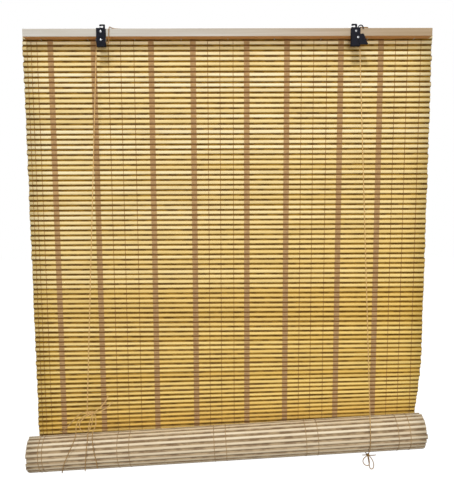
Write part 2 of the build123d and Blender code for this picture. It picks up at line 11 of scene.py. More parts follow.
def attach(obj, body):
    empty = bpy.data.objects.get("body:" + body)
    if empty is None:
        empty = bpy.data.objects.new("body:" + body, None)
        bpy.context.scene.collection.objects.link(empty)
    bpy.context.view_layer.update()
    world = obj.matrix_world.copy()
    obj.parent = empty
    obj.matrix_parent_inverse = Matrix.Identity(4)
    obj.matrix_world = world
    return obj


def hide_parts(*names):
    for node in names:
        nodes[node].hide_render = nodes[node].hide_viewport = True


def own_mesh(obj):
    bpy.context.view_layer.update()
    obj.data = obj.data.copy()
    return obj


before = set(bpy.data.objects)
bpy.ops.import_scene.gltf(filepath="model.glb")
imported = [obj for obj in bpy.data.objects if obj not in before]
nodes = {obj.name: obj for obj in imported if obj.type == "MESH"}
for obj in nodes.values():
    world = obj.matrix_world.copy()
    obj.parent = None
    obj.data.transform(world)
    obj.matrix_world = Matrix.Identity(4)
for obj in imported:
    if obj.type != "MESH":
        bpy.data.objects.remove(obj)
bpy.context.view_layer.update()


# Head rail.
# A planed pine batten that carries the whole blind, with its grain along its length.
# The hangers are screwed to its front and the mat is stapled to its back.
def tint(red, green, blue):
    """Linear colour from the values that a colour picker shows."""
    shares = [value / 255 for value in (red, green, blue)]
    linear = [share / 12.92 if share <= 0.04045 else ((share + 0.055) / 1.055) ** 2.4 for share in shares]
    return (*linear, 1.0)


def new_finish(name, roughness):
    """A material, its node tree and its main shader."""
    finish = bpy.data.materials.new(name)
    finish.use_nodes = True
    shader = finish.node_tree.nodes["Principled BSDF"]
    shader.inputs["Roughness"].default_value = roughness
    return finish, finish.node_tree, shader


def put(tree, kind, feeds=None, **settings):
    """One node with its settings; a feed is another node's output or a plain value."""
    node = tree.nodes.new(kind)
    for key, value in settings.items():
        setattr(node, key, value)
    for key, feed in (feeds or {}).items():
        if isinstance(feed, bpy.types.NodeSocket):
            tree.links.new(feed, node.inputs[key])
        else:
            node.inputs[key].default_value = feed
    return node


def mixed(tree, share, first, second):
    """Colour between two others."""
    node = put(tree, "ShaderNodeMix", {0: share, 6: first, 7: second}, data_type="RGBA")
    return node.outputs[2]


def ranged(tree, value, low, high, start=0.0, end=1.0):
    """A value mapped smoothly from one range to another."""
    feeds = {"Value": value, "From Min": low, "From Max": high, "To Min": start, "To Max": end}
    return put(tree, "ShaderNodeMapRange", feeds, interpolation_type="SMOOTHSTEP").outputs[0]


def relief(tree, shader, height, strength, distance):
    """Bump on a shader's normal."""
    node = put(tree, "ShaderNodeBump", {"Height": height, "Strength": strength, "Distance": distance})
    tree.links.new(node.outputs["Normal"], shader.inputs["Normal"])


def fibre_group():
    """Long fibres of wood or bamboo along X, with coarse bands and fine streaks."""
    tree = bpy.data.node_groups.new("long_fibre", "ShaderNodeTree")
    for name in ("Along", "Across"):
        tree.interface.new_socket(name, in_out="INPUT", socket_type="NodeSocketFloat")
    for name in ("Streak", "Band"):
        tree.interface.new_socket(name, in_out="OUTPUT", socket_type="NodeSocketFloat")
    source = put(tree, "NodeGroupInput")
    sink = put(tree, "NodeGroupOutput")
    place = put(tree, "ShaderNodeTexCoord").outputs["Object"]
    across = source.outputs["Across"]
    stretch = put(tree, "ShaderNodeCombineXYZ", {"X": source.outputs["Along"], "Y": across, "Z": across})
    spread = put(tree, "ShaderNodeVectorMath", {0: place, 1: stretch.outputs[0]}, operation="MULTIPLY")
    fine = put(tree, "ShaderNodeTexNoise", {"Vector": spread.outputs[0], "Scale": 1.0, "Detail": 4.0})
    coarse = put(tree, "ShaderNodeTexNoise", {"Vector": spread.outputs[0], "Scale": 0.16, "Detail": 2.0})
    tree.links.new(fine.outputs[0], sink.inputs["Streak"])
    tree.links.new(coarse.outputs[0], sink.inputs["Band"])
    return tree


long_fibre = fibre_group()


def fibre(tree, along, across):
    """The fibre group placed in a material."""
    node = put(tree, "ShaderNodeGroup", node_tree=long_fibre)
    node.inputs["Along"].default_value = along
    node.inputs["Across"].default_value = across
    return node


def pine_finish():
    """Unvarnished pine: pale early wood, tan late wood, darker to the right as painted light falloff, warm
    brown painted shade underneath.
    """
    finish, tree, shader = new_finish("planed_pine", 0.62)
    shader.inputs["Specular IOR Level"].default_value = 0.25
    grain = fibre(tree, 9.0, 420.0)
    share = ranged(tree, grain.outputs["Band"], 0.35, 0.68)
    along = put(tree, "ShaderNodeSeparateXYZ", {0: put(tree, "ShaderNodeTexCoord").outputs["Object"]})
    # Painted light falloff: early and late wood go darker and warmer from the left end to the right.
    wear_and_light_falloff = ranged(tree, along.outputs["X"], -0.3, 0.45)
    early = mixed(tree, wear_and_light_falloff, tint(213, 212, 206), tint(180, 157, 127))
    late = mixed(tree, wear_and_light_falloff, tint(194, 188, 177), tint(157, 132, 99))
    wood = mixed(tree, share, early, late)
    fine = ranged(tree, grain.outputs["Streak"], 0.3, 0.75, 0.0, 0.16)
    streaked = mixed(tree, fine, wood, tint(144, 118, 88))
    # Painted shade with warm bounce light: faces that point down turn warm brown.
    facing = put(tree, "ShaderNodeSeparateXYZ", {0: put(tree, "ShaderNodeNewGeometry").outputs["Normal"]})
    underside = ranged(tree, facing.outputs["Z"], -0.6, -0.95)
    painted_underside_shade = mixed(tree, underside, streaked, tint(216, 158, 100))
    tree.links.new(painted_underside_shade, shader.inputs["Base Color"])
    relief(tree, shader, grain.outputs["Streak"], 0.25, 0.0006)
    return finish


def paint(node, finish):
    """Gives a CAD node its finish."""
    nodes[node].data.materials.clear()
    nodes[node].data.materials.append(finish)


planed_pine = pine_finish()
paint("head_rail", planed_pine)
paint("bottom_batten", planed_pine)


# Staples.
# Bent steel wire, driven into the rail's back over the first slat and over the cord's ends.
# Plain drawn wire, a little dull.
def metal_finish(name, colour, roughness, speck):
    """Bright metal with fine uneven polish."""
    finish, tree, shader = new_finish(name, roughness)
    place = put(tree, "ShaderNodeTexCoord").outputs["Object"]
    cloud = put(tree, "ShaderNodeTexNoise", {"Vector": place, "Scale": speck, "Detail": 5.0})
    shader.inputs["Metallic"].default_value = 1.0
    dull = ranged(tree, cloud.outputs[0], 0.35, 0.7, 0.0, 0.35)
    tone = mixed(tree, dull, tint(*colour), tint(120, 118, 112))
    tree.links.new(tone, shader.inputs["Base Color"])
    polish = ranged(tree, cloud.outputs[0], 0.3, 0.7, roughness - 0.06, roughness + 0.12)
    tree.links.new(polish, shader.inputs["Roughness"])
    relief(tree, shader, cloud.outputs[0], 0.12, 0.0002)
    return finish


drawn_wire = metal_finish("drawn_wire", (186, 186, 182), 0.38, 900.0)
paint("mat_staples", drawn_wire)
paint("cord_staples", drawn_wire)


# Hanging mat.
# Split bamboo slats laid one under another, rounded and golden in front, flat and pale behind.
# The lowest ones fan upwards to the right, where the tilted roll pulls on them.
MAT_LEFT = -0.451
MAT_WIDTH = 0.9
MAT_FRONT = 0.0294
MAT_BACK = 0.0326
SLAT_PITCH = 0.01129
FIRST_SLAT = -0.01555
HANGING_SLATS = 82
FAN_START = 57
FAN_SLATS = 26
FAN_ANGLE = radians(2.64)
FAN_POWER = 1.5
TAPER_START = 66
TAPER_STEP = 0.0009
FLANGE_HALF = 0.0061
SLAT_STEPS = 18
MAT_RAGGED = 0.0011
MAT_WOBBLE = 0.0008
MAT_SEED = 3
# Both profiles end in a thin web out to FLANGE_HALF that reaches behind the next slat and takes the painted
# groove shade.
ROUND_FACE = (
    (0.0, -0.0032), (0.0012, -0.00312), (0.0022, -0.00288), (0.0031, -0.0025), (0.0037, -0.002),
    (0.0041, -0.0014), (0.0043, -0.0009), (0.0061, -0.0007), (0.0061, -0.0005), (0.0044, -0.0004),
    (0.0042, 0.0),
)
ROUND_BACK = (
    (0.0, -0.0032), (0.0034, -0.003), (0.0042, -0.0026), (0.0061, -0.0025), (0.0061, -0.0023),
    (0.0043, -0.002), (0.004, -0.0015), (0.0034, -0.0009), (0.0025, -0.00045), (0.0013, -0.00012),
)


def link(piece):
    """Puts an object in the scene."""
    bpy.context.scene.collection.objects.link(piece)
    return piece


def close_tube(shape, rings):
    """Faces between rings of points that follow one another, and one over each end."""
    count = len(rings[0])
    for before, after in zip(rings, rings[1:]):
        for side in range(count):
            nearby = (side + 1) % count
            shape.faces.new((before[side], before[nearby], after[nearby], after[side]))
    shape.faces.new(rings[0])
    shape.faces.new(reversed(rings[-1]))


def mesh_from(shape, name):
    """Turns a built shape into a mesh, with its faces outwards."""
    bmesh.ops.recalc_face_normals(shape, faces=shape.faces)
    mesh = bpy.data.meshes.new(name)
    shape.to_mesh(mesh)
    shape.free()
    return mesh


def slat_stock(name, half_profile):
    """One slat along X from its left end: closed, with its place across and in depth kept for the finish."""
    lower = [(-height, depth) for height, depth in reversed(half_profile[1:])]
    profile = [*half_profile, *lower]
    shape = bmesh.new()
    across = shape.verts.layers.float.new("across")
    front = shape.verts.layers.float.new("front")
    rings = []
    for step in range(SLAT_STEPS + 1):
        ring = []
        for height, depth in profile:
            vert = shape.verts.new((MAT_WIDTH * step / SLAT_STEPS, depth, height))
            vert[across] = height / FLANGE_HALF
            vert[front] = -depth / (MAT_BACK - MAT_FRONT)
            ring.append(vert)
        rings.append(ring)
    close_tube(shape, rings)
    return link(bpy.data.objects.new(name, mesh_from(shape, name)))


def random_between(tree, low, high, seed, offset):
    """A fixed random number for each slat."""
    node = put(tree, "FunctionNodeRandomValue", {2: low, 3: high}, data_type="FLOAT")
    shifted = put(tree, "ShaderNodeMath", {0: seed, 1: float(offset)}, operation="ADD")
    tree.links.new(shifted.outputs[0], node.inputs[8])
    return node.outputs[1]


def laid_slats_tree():
    """Lays a slat on each point, turned and tilted as the point says, each one a little different."""
    tree = bpy.data.node_groups.new("laid_slats", "GeometryNodeTree")
    sockets = (
        ("Geometry", "Geometry"), ("Slat", "Object"), ("Finish", "Material"),
        ("Ragged ends", "Float"), ("Wobble", "Float"), ("Seed", "Int"),
    )
    for name, kind in sockets:
        tree.interface.new_socket(name, in_out="INPUT", socket_type=f"NodeSocket{kind}")
    tree.interface.new_socket("Geometry", in_out="OUTPUT", socket_type="NodeSocketGeometry")
    given = put(tree, "NodeGroupInput").outputs
    seed = given["Seed"]
    stock = put(tree, "GeometryNodeObjectInfo", {"Object": given["Slat"]})
    turn = put(tree, "GeometryNodeInputNamedAttribute", {"Name": "turn"}, data_type="FLOAT")
    tilt = put(tree, "GeometryNodeInputNamedAttribute", {"Name": "tilt"}, data_type="FLOAT")
    length = put(tree, "GeometryNodeInputNamedAttribute", {"Name": "length"}, data_type="FLOAT")
    twist = random_between(tree, -0.03, 0.03, seed, 1)
    turned = put(tree, "ShaderNodeMath", {0: turn.outputs[0], 1: twist}, operation="ADD")
    angles = put(tree, "ShaderNodeCombineXYZ", {"X": turned.outputs[0], "Y": tilt.outputs[0]})
    rotation = put(tree, "FunctionNodeEulerToRotation", {0: angles.outputs[0]})
    thick = random_between(tree, 0.9, 1.0, seed, 2)
    wide = random_between(tree, 0.95, 1.02, seed, 3)
    scale = put(tree, "ShaderNodeCombineXYZ", {"X": length.outputs[0], "Y": thick, "Z": wide})
    feeds = {
        "Points": given["Geometry"], "Instance": stock.outputs["Geometry"],
        "Rotation": rotation.outputs[0], "Scale": scale.outputs[0],
    }
    laid = put(tree, "GeometryNodeInstanceOnPoints", feeds)
    slip = random_between(tree, -1.0, 1.0, seed, 4)
    shift = put(tree, "ShaderNodeMath", {0: slip, 1: given["Ragged ends"]}, operation="MULTIPLY")
    offset = put(tree, "ShaderNodeCombineXYZ", {"X": shift.outputs[0]})
    feeds = {0: laid.outputs[0], "Translation": offset.outputs[0]}
    moved = put(tree, "GeometryNodeTranslateInstances", feeds)
    tone = random_between(tree, 0.0, 1.0, seed, 5)
    feeds = {"Geometry": moved.outputs[0], "Name": "tone", "Value": tone}
    toned = put(tree, "GeometryNodeStoreNamedAttribute", feeds, data_type="FLOAT", domain="INSTANCE")
    real = put(tree, "GeometryNodeRealizeInstances", {0: toned.outputs[0]})
    place = put(tree, "GeometryNodeInputPosition").outputs[0]
    spread = put(tree, "ShaderNodeVectorMath", {0: place, 1: (9.0, 200.0, 200.0)}, operation="MULTIPLY")
    cloud = put(tree, "ShaderNodeTexNoise", {"Vector": spread.outputs[0], "Scale": 1.0, "Detail": 1.0})
    centred = put(tree, "ShaderNodeMath", {0: cloud.outputs[0], 1: 0.5}, operation="SUBTRACT")
    sway = put(tree, "ShaderNodeMath", {0: centred.outputs[0], 1: given["Wobble"]}, operation="MULTIPLY")
    bend = put(tree, "ShaderNodeCombineXYZ", {"Z": sway.outputs[0]})
    swayed = put(tree, "GeometryNodeSetPosition", {"Geometry": real.outputs[0], "Offset": bend.outputs[0]})
    dressed = put(tree, "GeometryNodeSetMaterial", {0: swayed.outputs[0], "Material": given["Finish"]})
    put(tree, "NodeGroupOutput", {0: dressed.outputs[0]})
    return tree


laid_slats = laid_slats_tree()


def slats_on(name, places, slat, finish, ragged, wobble, seed):
    """Slats laid on (place, turn, tilt, length) rows and turned into one plain mesh."""
    mesh = bpy.data.meshes.new(name)
    mesh.from_pydata([row[0] for row in places], [], [])
    for key, column in (("turn", 1), ("tilt", 2), ("length", 3)):
        layer = mesh.attributes.new(key, "FLOAT", "POINT")
        layer.data.foreach_set("value", [row[column] for row in places])
    carrier = link(bpy.data.objects.new(name + "_points", mesh))
    modifier = carrier.modifiers.new("slats", "NODES")
    modifier.node_group = laid_slats
    values = {"Slat": slat, "Finish": finish, "Ragged ends": ragged, "Wobble": wobble, "Seed": seed}
    for socket in laid_slats.interface.items_tree:
        if socket.in_out == "INPUT" and socket.name in values:
            modifier[socket.identifier] = values[socket.name]
    graph = bpy.context.evaluated_depsgraph_get()
    result = bpy.data.meshes.new_from_object(carrier.evaluated_get(graph), depsgraph=graph)
    bpy.data.objects.remove(carrier)
    for polygon in result.polygons:
        polygon.use_smooth = True
    return link(bpy.data.objects.new(name, result))


def attribute(tree, name):
    """A value that the mesh keeps under a name."""
    return put(tree, "ShaderNodeAttribute", attribute_name=name).outputs["Fac"]


def bamboo_skin(finish_name, pale, deep, back, back_depth, groove, stain, edge, shade_widening):
    """Split bamboo, end colours at the top and foot as painted light falloff: streaked, with painted shade on
    the flanks.
    """
    finish, tree, shader = new_finish(finish_name, 0.5)
    shader.inputs["Specular IOR Level"].default_value = 0.2
    tone = attribute(tree, "tone")
    place = put(tree, "ShaderNodeTexCoord").outputs["Object"]
    spot = put(tree, "ShaderNodeSeparateXYZ", {0: place}).outputs
    grain = fibre(tree, 7.0, 1500.0)
    # Painted light falloff: the face colours go from the first end colour at the top left to the second
    # toward the foot and the right.
    slant = {0: spot["X"], 1: -0.3, 2: spot["Z"]}
    painted_falloff = ranged(tree, put(tree, "ShaderNodeMath", slant, operation="MULTIPLY_ADD").outputs[0], -0.02, -0.9)
    light = mixed(tree, painted_falloff, tint(*pale[0]), tint(*pale[1]))
    dark = mixed(tree, painted_falloff, tint(*deep[0]), tint(*deep[1]))
    face = mixed(tree, ranged(tree, tone, 0.05, 0.95, 0.0, 0.8), light, dark)
    patch = fibre(tree, 10.0, 90.0).outputs["Streak"]
    clouded = mixed(tree, ranged(tree, patch, 0.45, 0.7, 0.0, 0.35), face, tint(*stain))
    banded = mixed(tree, ranged(tree, grain.outputs["Band"], 0.42, 0.7, 0.0, 0.3), clouded, tint(*stain))
    fine = ranged(tree, grain.outputs["Streak"], 0.35, 0.75, 0.0, 0.25)
    streaked = mixed(tree, fine, banded, tint(*stain))
    # Painted shade: the flanks, the thin web and the grooves between slats turn dark brown, over a wider band
    # toward the foot.
    flank = put(tree, "ShaderNodeMath", {0: attribute(tree, "across")}, operation="ABSOLUTE").outputs[0]
    low = ranged(tree, spot["Z"], -0.5, -0.86, 0.0, shade_widening)
    reached = put(tree, "ShaderNodeMath", {0: flank, 1: low}, operation="ADD").outputs[0]
    opening = fibre(tree, 40.0, 90.0).outputs["Streak"]
    gap = mixed(tree, ranged(tree, opening, 0.36, 0.64), tint(*groove[0]), tint(*groove[1]))
    shaded = mixed(tree, ranged(tree, reached, *edge), streaked, gap)
    reverse = mixed(tree, fine, tint(*back), tint(*stain))
    skin = mixed(tree, ranged(tree, attribute(tree, "front"), *back_depth), reverse, shaded)
    tree.links.new(skin, shader.inputs["Base Color"])
    relief(tree, shader, grain.outputs["Streak"], 0.25, 0.0004)
    return finish


def fan_angle(row):
    """How far a slat is pulled askew, right end up."""
    return FAN_ANGLE * (max(row - FAN_START, 0) / FAN_SLATS) ** FAN_POWER


def slat_height(row, x):
    """Height of a slat's middle line at a place along it."""
    return FIRST_SLAT - row * SLAT_PITCH + (x - MAT_LEFT) * tan(fan_angle(row))


slat_face = bamboo_skin(
    "bamboo_face",
    pale=((254, 240, 198), (254, 219, 128)),
    deep=((244, 218, 150), (238, 193, 90)),
    back=(240, 226, 198),
    back_depth=(0.1, 0.16),
    # Groove colours are painted shade between the slats.
    groove=((108, 73, 5), (156, 117, 34)),
    stain=(209, 175, 98),
    edge=(0.34, 0.74),
    shade_widening=0.1,
)
face_stock = slat_stock("face_stock", ROUND_FACE)
hanging_rows = []
for row in range(HANGING_SLATS):
    length = 1.0 - TAPER_STEP * max(row - TAPER_START, 0)
    hanging_rows.append(((MAT_LEFT, MAT_BACK, slat_height(row, MAT_LEFT)), 0.0, -fan_angle(row), length))
mat = slats_on("bamboo_slats", hanging_rows, face_stock, slat_face, MAT_RAGGED, MAT_WOBBLE, MAT_SEED)
bpy.data.objects.remove(face_stock)
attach(mat, "headrail")
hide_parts("hanging_mat")
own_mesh(mat)


# Yarn bands and single threads.
# Brown warp yarn that ties the slats: broad bands in pairs, and thin threads between the pairs.
# It lies over the slats' faces and dips into every groove; thin threads lie on their backs too.
BAND_WIDTH = 0.0124
BAND_THREADS = 6
THREAD_WIDTH = 0.0012
BAND_EDGE = 0.0643
BAND_PAIR_SPACING = 0.2125
BAND_INNER_SPACING = 0.0908
BAND_DRIFT_SHARES = (-0.28, 0.0, 0.34, 0.44, 0.16, 0.0, -0.22, -0.43)
YARN_RISE = 0.0008
YARN_DIP = 0.0017
YARN_WAVE = ((0.72, 0.66), (0.4, 0.18), (0.0, 0.0), (-0.4, 0.18), (-0.72, 0.66), (-1.0, 1.0))
YARN_VALLEY_SHARE = 0.45
YARN_INNER_SHARE = 0.95
YARN_FOOT_GAP = 0.0004
YARN_FOOT_STEP = 0.001
YARN_FOOT_DIP = 0.1
THREAD_RISE = YARN_RISE * 0.6
BACK_RISE_SHARE = 0.6
BACK_DIP_SHARE = 0.7
GAP_SHARES = (0.265, 0.485, 0.725)
EDGE_SHARES = (0.15, 0.29, 0.49)
ROLL_MIDDLE = Vector((-0.0093, -0.01189, -0.9245))
ROLL_TILT = radians(3.18)


def roll_axis_height(x):
    """Height of the tilted roll's axis."""
    return ROLL_MIDDLE.z + (x - ROLL_MIDDLE.x) * tan(ROLL_TILT)


def yarn_course(x):
    """Heights down the mat with how deep the yarn lies there, 0 on a slat and 1 in a groove."""
    course = []
    for row in range(HANGING_SLATS):
        middle = slat_height(row, x)
        below = slat_height(row + 1, x)
        half = (middle - below) / 2
        for share, dip in YARN_WAVE:
            course.append((middle + share * half, dip))
    lowest = roll_axis_height(x) + YARN_FOOT_GAP
    course = [(height, dip) for height, dip in course if height > lowest + YARN_FOOT_STEP]
    course.append((lowest, YARN_FOOT_DIP))
    return course


def front_of_mat(depth, dip, rise):
    """Depth of yarn on the slats' faces, which sinks into the grooves."""
    return MAT_FRONT - rise + dip * YARN_DIP + depth


def back_of_mat(depth, dip, rise):
    """Depth of yarn on the slats' flat backs, where it hardly sinks."""
    return MAT_BACK + (BACK_RISE_SHARE - BACK_DIP_SHARE * dip) * rise - depth


def yarn_strip(shape, x, width, threads, rise, side_of_mat):
    """One closed strip of side-by-side threads, added to a mesh, with its dips kept for the finish."""
    sunk = shape.verts.layers.float["dip"]
    columns = threads * 2 + 1
    section = []
    for column in range(columns):
        valley = 0.0 if column % 2 else rise * YARN_VALLEY_SHARE
        section.append((width * (column / (columns - 1) - 0.5), valley))
    inner = rise * YARN_INNER_SHARE
    section += [(width / 2, inner), (-width / 2, inner)]
    rings = []
    for height, dip in yarn_course(x):
        ring = []
        for side, depth in section:
            vert = shape.verts.new((x + side, side_of_mat(depth, dip, rise), height))
            vert[sunk] = dip
            ring.append(vert)
        rings.append(ring)
    close_tube(shape, rings)


def yarn_piece(name, places, width, threads, rise, side_of_mat, finish):
    """All strips of one kind in one mesh."""
    shape = bmesh.new()
    shape.verts.layers.float.new("dip")
    for x in places:
        yarn_strip(shape, x, width, threads, rise, side_of_mat)
    mesh = mesh_from(shape, name)
    mesh.materials.append(finish)
    return link(bpy.data.objects.new(name, mesh))


def yarn_finish(name, light, dark, groove, ply):
    """Soft spun yarn with a fine slanted twist and fuzzy sheen, with painted shade where it dips between
    slats.
    """
    finish, tree, shader = new_finish(name, 0.85)
    shader.inputs["Specular IOR Level"].default_value = 0.15
    place = put(tree, "ShaderNodeTexCoord").outputs["Object"]
    spread = put(tree, "ShaderNodeVectorMath", {0: place, 1: (2600.0, 600.0, 900.0)}, operation="MULTIPLY")
    ply_cloud = put(tree, "ShaderNodeTexNoise", {"Vector": spread.outputs[0], "Scale": ply, "Detail": 3.0})
    patch = put(tree, "ShaderNodeTexNoise", {"Vector": place, "Scale": 95.0, "Detail": 2.0})
    base = mixed(tree, ranged(tree, ply_cloud.outputs[0], 0.35, 0.65), tint(*light), tint(*dark))
    worn = mixed(tree, ranged(tree, patch.outputs[0], 0.4, 0.65, 0.0, 0.45), base, tint(204, 167, 112))
    # Painted shade: the yarn turns the groove colour where it dips between slats.
    dipped = mixed(tree, ranged(tree, attribute(tree, "dip"), 0.25, 0.9), worn, tint(*groove))
    tree.links.new(dipped, shader.inputs["Base Color"])
    shader.inputs["Sheen Weight"].default_value = 0.1
    relief(tree, shader, ply_cloud.outputs[0], 0.5, 0.0004)
    return finish


band_places = []
for number, drift in enumerate(BAND_DRIFT_SHARES):
    pair, second = divmod(number, 2)
    place = BAND_EDGE + pair * BAND_PAIR_SPACING + second * BAND_INNER_SPACING + drift * BAND_WIDTH
    band_places.append(MAT_LEFT + place)
thread_places = [MAT_LEFT + share * BAND_EDGE for share in EDGE_SHARES]
for place in band_places[1::2]:
    thread_places += [place + share * (BAND_PAIR_SPACING - BAND_INNER_SPACING) for share in GAP_SHARES]
brown_yarn = yarn_finish("brown_yarn", (192, 157, 110), (166, 130, 86), (114, 74, 30), 1.0)
bands = yarn_piece("yarn_bands", band_places, BAND_WIDTH, BAND_THREADS, YARN_RISE, front_of_mat, brown_yarn)
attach(bands, "headrail")
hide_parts("warp_bands")
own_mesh(bands)
thin_yarn = yarn_finish("thin_yarn", (172, 130, 70), (128, 90, 42), (110, 72, 28), 1.4)
threads = yarn_piece("single_threads", thread_places, THREAD_WIDTH, 1, THREAD_RISE, front_of_mat, thin_yarn)
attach(threads, "headrail")
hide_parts("warp_threads")
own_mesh(threads)
back_places = [place for number, place in enumerate(thread_places) if number % 3 < 2]
back_threads = yarn_piece("back_threads", back_places, THREAD_WIDTH, 1, THREAD_RISE, back_of_mat, thin_yarn)
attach(back_threads, "headrail")
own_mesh(back_threads)


# Roll.
# The lower half of the mat, wound round its bottom lath with the pale back of the slats outwards.
# Thin threads run round it where they come down the mat.
ROLL_SLATS = 60
ROLL_STEP = 0.0074
SLAT_WIDTH = 0.0088
SLAT_THICKNESS = 0.0032
LATH_WIDTH = 0.025
LATH_THICKNESS = 0.010
WINDING_GAP = 0.0003
CORE_RADIUS = hypot(LATH_WIDTH, LATH_THICKNESS) / 2 + WINDING_GAP
ROLL_SINK = 0.00025
ROLL_RAGGED = 0.0022
ROLL_WOBBLE = 0.0
ROLL_SEED = 11
WOUND_STEPS = 96
WOUND_LIFT = 0.00012
WOUND_SECTION = ((-0.5, 0.0), (0.0, 0.00008), (0.5, 0.0), (0.5, -0.0005), (-0.5, -0.0005))
THREAD_SHIFT = 0.018


def roll_growth(angle):
    """Growth of the wound radius over an angle."""
    return ROLL_STEP * angle / (2 * pi)


def wound_slats():
    """Angle and outer radius at the middle of each wound slat, and the angle where the last one ends."""
    rows = []
    angle = 0.0
    for _ in range(ROLL_SLATS):
        outer = CORE_RADIUS + SLAT_THICKNESS + roll_growth(angle)
        middle = outer - SLAT_THICKNESS / 2
        end = angle + SLAT_WIDTH / middle
        rows.append(((angle + end) / 2, outer + roll_growth((end - angle) / 2)))
        angle += SLAT_PITCH / middle
    return rows, end


def roll_place():
    """From the roll's own axis to the frame."""
    return Matrix.Translation(ROLL_MIDDLE) @ Matrix.Rotation(-ROLL_TILT, 4, "Y")


wound, wound_end = wound_slats()
roll_radius = CORE_RADIUS + SLAT_THICKNESS + roll_growth(wound_end)
wound_rows = []
for angle, radius in wound:
    turn = wound_end - angle
    reach = radius - ROLL_SINK
    wound_rows.append(((-MAT_WIDTH / 2, reach * cos(turn), -reach * sin(turn)), -turn, 0.0, 1.0))
slat_back = bamboo_skin(
    "bamboo_back",
    pale=((238, 224, 196), (238, 224, 196)),
    deep=((220, 201, 168), (220, 201, 168)),
    back=(240, 224, 194),
    back_depth=(-0.2, -0.1),
    # Groove colours are painted shade between the wound slats.
    groove=((138, 113, 83), (178, 153, 118)),
    stain=(208, 184, 148),
    edge=(0.2, 0.62),
    shade_widening=0.0,
)
back_stock = slat_stock("back_stock", ROUND_BACK)
roll = slats_on("wound_slats", wound_rows, back_stock, slat_back, ROLL_RAGGED, ROLL_WOBBLE, ROLL_SEED)
bpy.data.objects.remove(back_stock)
roll.data.transform(roll_place())
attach(roll, "roll")
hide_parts("mat_roll")


def wound_threads(name, places, finish):
    """Flat threads round the outermost turn, as closed thin strips."""
    shape = bmesh.new()
    for x in places:
        rings = []
        for step in range(WOUND_STEPS + 1):
            turn = 2 * pi * step / WOUND_STEPS
            outer = roll_radius - roll_growth(turn) + WOUND_LIFT
            ring = []
            for side, lift in WOUND_SECTION:
                reach = outer + lift
                place = (x + side * THREAD_WIDTH, reach * cos(turn), -reach * sin(turn))
                ring.append(shape.verts.new(place))
            rings.append(ring)
        close_tube(shape, rings)
    mesh = mesh_from(shape, name)
    mesh.transform(roll_place())
    mesh.materials.append(finish)
    return link(bpy.data.objects.new(name, mesh))


wound_places = [place - MAT_LEFT - MAT_WIDTH / 2 + THREAD_SHIFT for place in back_places]
roll_yarn = yarn_finish("roll_yarn", (168, 138, 100), (132, 102, 68), (132, 102, 68), 1.4)
roll_threads = wound_threads("roll_threads", wound_places, roll_yarn)
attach(roll_threads, "roll")


# Hangers and lock arm.
# Stamped steel strip, blackened, folded into a channel with an open eye above the rail.
# The arm of the cord lock swings on the lower rivet of the right hanger.
def black_finish():
    """Blackened steel: near black with a blue cast, thin scuffs and a satin gloss."""
    finish, tree, shader = new_finish("black_steel", 0.42)
    place = put(tree, "ShaderNodeTexCoord").outputs["Object"]
    cloud = put(tree, "ShaderNodeTexNoise", {"Vector": place, "Scale": 260.0, "Detail": 6.0})
    scuff = put(tree, "ShaderNodeTexNoise", {"Vector": place, "Scale": 900.0, "Detail": 4.0})
    base = mixed(tree, ranged(tree, cloud.outputs[0], 0.3, 0.7), tint(10, 11, 18), tint(20, 22, 33))
    worn = mixed(tree, ranged(tree, scuff.outputs[0], 0.64, 0.74, 0.0, 0.3), base, tint(60, 62, 70))
    tree.links.new(worn, shader.inputs["Base Color"])
    tree.links.new(ranged(tree, cloud.outputs[0], 0.3, 0.7, 0.36, 0.54), shader.inputs["Roughness"])
    shader.inputs["Specular IOR Level"].default_value = 0.08
    relief(tree, shader, scuff.outputs[0], 0.15, 0.0002)
    return finish


black_steel = black_finish()
for node in ("left_hanger", "lock_hanger", "lock_arm"):
    paint(node, black_steel)


# Screws and rivets.
# Bright zinc-plated steel with low domed heads: a screw into the rail and a rivet on each hanger.
bright_zinc = metal_finish("bright_zinc", (150, 151, 154), 0.26, 1200.0)
for node in ("left_fixing_screw", "lock_fixing_screw", "left_sheave_pin", "lock_arm_pin"):
    paint(node, bright_zinc)


# Wheels.
# Moulded plastic wheels with a round groove for the cord, one under the left hanger and one in the lock.
def moulded_finish():
    """Dark moulded plastic, matt, with a fine grain."""
    finish, tree, shader = new_finish("moulded_plastic", 0.5)
    place = put(tree, "ShaderNodeTexCoord").outputs["Object"]
    cloud = put(tree, "ShaderNodeTexNoise", {"Vector": place, "Scale": 1500.0, "Detail": 3.0})
    base = mixed(tree, cloud.outputs[0], tint(30, 31, 34), tint(50, 50, 52))
    tree.links.new(base, shader.inputs["Base Color"])
    relief(tree, shader, cloud.outputs[0], 0.2, 0.0001)
    return finish


moulded_plastic = moulded_finish()
for node in ("left_sheave", "lock_roller"):
    paint(node, moulded_plastic)


# Cord.
# One length of thin three-strand twisted cord, tan, that lifts the roll and holds it up.
# It ends on the left in a knot with loose ends and on the right in a bow under the roll.
CORD_RADIUS = 0.0011
CORD_LAY = 0.0075
CORD_RING = 0.0011
LEAST_RINGS = 4
STRANDS = 3
STRAND_SHARES = (0.78, 1.0, 0.96)


def cord_line(name, route):
    """Points along the smooth spline that has the route, in millimetres, as its control points."""
    curve = bpy.data.curves.new(name, "CURVE")
    curve.dimensions = "3D"
    curve.resolution_u = 16
    spline = curve.splines.new("NURBS")
    spline.points.add(len(route) - 1)
    for point, place in zip(spline.points, route):
        point.co = (*[value / 1000 for value in place], 1.0)
    spline.order_u = 3
    spline.use_endpoint_u = True
    carrier = link(bpy.data.objects.new(name + "_line", curve))
    graph = bpy.context.evaluated_depsgraph_get()
    mesh = bpy.data.meshes.new_from_object(carrier.evaluated_get(graph), depsgraph=graph)
    line = [vert.co.copy() for vert in mesh.vertices]
    bpy.data.objects.remove(carrier)
    return line


